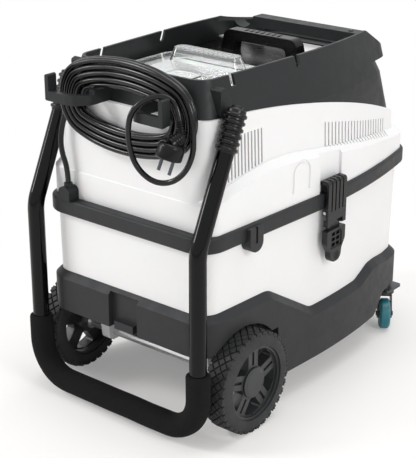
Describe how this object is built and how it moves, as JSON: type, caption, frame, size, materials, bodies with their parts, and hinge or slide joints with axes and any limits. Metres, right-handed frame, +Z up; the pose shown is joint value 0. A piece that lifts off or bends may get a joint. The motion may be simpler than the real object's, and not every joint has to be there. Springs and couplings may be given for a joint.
{
  "type": "spot extractor",
  "caption": "Wheeled spot extractor: white tank and motor head in black mouldings, clear-lidded recovery bucket, folding push handle, coiled mains cord, side latches and swivel casters.",
  "frame": {"origin": "on the floor, under the middle of the machine's bounding box without its cord", "axes": "+Z up, +Y forwards towards the casters, +X to the machine's right, the pictured side"},
  "size_m": [0.376, 0.6048, 0.5452],
  "materials": {
    "black_moulding": "fine satin texture",
    "white_moulding": "satin white",
    "bucket_plastic": "translucent natural",
    "clear_plastic": "frosted clear",
    "latch_plastic": "satin",
    "seal_rubber": "matt",
    "cord_rubber": "semi-gloss jacket",
    "plated_steel": "zinc plated",
    "tube_steel": "gloss black powder coat",
    "grip_foam": "matt foam",
    "sleeve_rubber": "matt",
    "tyre_rubber": "matt",
    "wheel_plastic": "satin",
    "caster_fork_plastic": "satin",
    "caster_tread": "semi-gloss teal",
    "duct_plastic": "satin",
    "motor_case": "satin",
    "fan_aluminium": "as pressed",
    "coupler_brass": "turned"
  },
  "bodies": {
    "machine": {"base_chassis": "black_moulding", "solution_tank": "white_moulding", "tank_seal": "seal_rubber", "band_frame": "black_moulding", "motor_housing": "white_moulding", "top_tray": "black_moulding", "front_cover": "white_moulding", "cord_hooks": "black_moulding", "cord_gland": "black_moulding", "cord_lead": "cord_rubber", "cord_coil": "cord_rubber", "cord_tail": "cord_rubber", "plug_body": "cord_rubber", "plug_pins": "plated_steel", "pivot_studs": "plated_steel", "rear_axle": "plated_steel", "axle_brackets": "plated_steel", "axle_clips": "plated_steel", "caster_plates": "plated_steel", "housing_screws": "plated_steel", "latch_bases": "latch_plastic", "latch_pins": "plated_steel", "latch_keepers": "latch_plastic", "band_clips": "black_moulding", "motor_mount": "seal_rubber", "vacuum_motor": "motor_case", "suction_duct": "duct_plastic", "inlet_duct": "duct_plastic", "hose_port": "duct_plastic", "solution_pump": "motor_case", "solution_coupler": "coupler_brass", "switch_panel": "black_moulding"},
    "recovery_insert": {"recovery_bucket": "bucket_plastic", "lid_gasket": "seal_rubber", "carry_handle": "black_moulding", "float_cage": "duct_plastic", "bucket_duct": "duct_plastic"},
    "lid": {"clear_lid": "clear_plastic"},
    "float": {"float_ball": "duct_plastic"},
    "fan": {"motor_fan": "fan_aluminium"},
    "rocker": {"switch_rocker": "black_moulding"},
    "push_handle": {"push_handle_tube": "tube_steel", "push_handle_grip": "grip_foam", "tube_sleeves": "sleeve_rubber"},
    "right_wheel": {"right_tyre": "tyre_rubber", "right_rim": "wheel_plastic", "right_hub_cap": "wheel_plastic"},
    "left_wheel": {"left_tyre": "tyre_rubber", "left_rim": "wheel_plastic", "left_hub_cap": "wheel_plastic"},
    "right_caster": {"right_caster_fork": "caster_fork_plastic"},
    "right_caster_roller": {"right_caster_wheel": "caster_tread"},
    "left_caster": {"left_caster_fork": "caster_fork_plastic"},
    "left_caster_roller": {"left_caster_wheel": "caster_tread"},
    "right_lever": {"right_latch_lever": "latch_plastic"},
    "right_hook": {"right_latch_hook": "latch_plastic"},
    "left_lever": {"left_latch_lever": "latch_plastic"},
    "left_hook": {"left_latch_hook": "latch_plastic"}
  },
  "joints": [
    {"name": "push_handle_swing", "type": "hinge", "parent": "machine", "child": "push_handle", "pos_m": [0, -0.19884, 0.479], "axis": [-1, 0, 0], "range_deg": [0, 125]},
    {"name": "right_wheel_spin", "type": "hinge", "parent": "machine", "child": "right_wheel", "pos_m": [0.168, -0.181, 0.078], "axis": [1, 0, 0], "continuous": true},
    {"name": "left_wheel_spin", "type": "hinge", "parent": "machine", "child": "left_wheel", "pos_m": [-0.168, -0.181, 0.078], "axis": [1, 0, 0], "continuous": true},
    {"name": "right_caster_swivel", "type": "hinge", "parent": "machine", "child": "right_caster", "pos_m": [0.13, 0.254, 0.062], "axis": [0, 0, 1], "continuous": true},
    {"name": "left_caster_swivel", "type": "hinge", "parent": "machine", "child": "left_caster", "pos_m": [-0.13, 0.254, 0.062], "axis": [0, 0, 1], "continuous": true},
    {"name": "right_caster_spin", "type": "hinge", "parent": "right_caster", "child": "right_caster_roller", "pos_m": [0.14324, 0.23643, 0.026], "axis": [0.7986, 0.6018, 0], "continuous": true},
    {"name": "left_caster_spin", "type": "hinge", "parent": "left_caster", "child": "left_caster_roller", "pos_m": [-0.13, 0.232, 0.026], "axis": [1, 0, 0], "continuous": true},
    {"name": "right_latch_open", "type": "hinge", "parent": "machine", "child": "right_lever", "pos_m": [0.17096, 0.022, 0.284], "axis": [0, -1, 0], "range_deg": [0, 90]},
    {"name": "right_hook_turn", "type": "hinge", "parent": "right_lever", "child": "right_hook", "pos_m": [0.17246, 0.022, 0.266], "axis": [0, -1, 0], "range_deg": [-90, 0]},
    {"name": "left_latch_open", "type": "hinge", "parent": "machine", "child": "left_lever", "pos_m": [-0.17096, 0.022, 0.284], "axis": [0, 1, 0], "range_deg": [0, 90]},
    {"name": "left_hook_turn", "type": "hinge", "parent": "left_lever", "child": "left_hook", "pos_m": [-0.17246, 0.022, 0.266], "axis": [0, 1, 0], "range_deg": [-90, 0]},
    {"name": "bucket_lift", "type": "slide", "parent": "machine", "child": "recovery_insert", "axis": [0, 0, 1], "range_m": [0, 0.21]},
    {"name": "lid_lift", "type": "slide", "parent": "recovery_insert", "child": "lid", "axis": [0, 0, 1], "range_m": [0, 0.12]},
    {"name": "float_rise", "type": "slide", "parent": "recovery_insert", "child": "float", "axis": [0, 0, 1], "range_m": [0, 0.02]},
    {"name": "switch_rock", "type": "hinge", "parent": "machine", "child": "rocker", "pos_m": [0, 0.244, 0.43], "axis": [1, 0, 0], "range_deg": [-8, 8]},
    {"name": "fan_spin", "type": "hinge", "parent": "machine", "child": "fan", "pos_m": [0, 0.134, 0.38], "axis": [0, 0, 1], "continuous": true}
  ],
  "couplings": [
    {"joint": "right_hook_turn", "follows": "right_latch_open", "ratio": -1},
    {"joint": "left_hook_turn", "follows": "left_latch_open", "ratio": -1}
  ]
}
